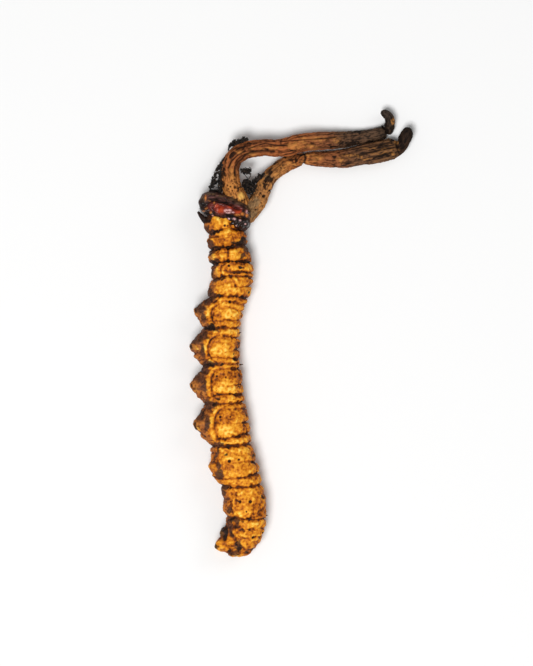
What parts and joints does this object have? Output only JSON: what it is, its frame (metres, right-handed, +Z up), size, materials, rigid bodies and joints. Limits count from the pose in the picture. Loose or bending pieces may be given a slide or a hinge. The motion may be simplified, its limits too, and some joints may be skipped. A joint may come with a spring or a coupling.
{
  "type": "dried cordyceps",
  "caption": "Dried cordyceps lying on its side: a mummified moth larva with stubby prolegs and two long fungal stalks that bend away from its head.",
  "frame": {"origin": "on the resting plane, under the middle of the whole specimen", "axes": "+Y along the larva towards its head, +X towards the larva's back and the stalks' tips, +Z up out of the left side of the larva"},
  "size_m": [0.0302, 0.0605, 0.0055],
  "materials": {
    "larva_skin": "dry wrinkled golden-brown hide, satin on the high folds",
    "head_shell": "dark red-brown glossy horn",
    "stalk_flesh": "matt fibrous brown, dark at the tips",
    "soil": "matt blackish crumbs of soil and rootlets"
  },
  "bodies": {
    "root": {"larva_body": "larva_skin", "head_shell": "head_shell", "stalk_left": "stalk_flesh", "stalk_right": "stalk_flesh", "soil_crust": "soil", "soil_tuft": "soil", "soil_clump": "soil"}
  },
  "joints": []
}
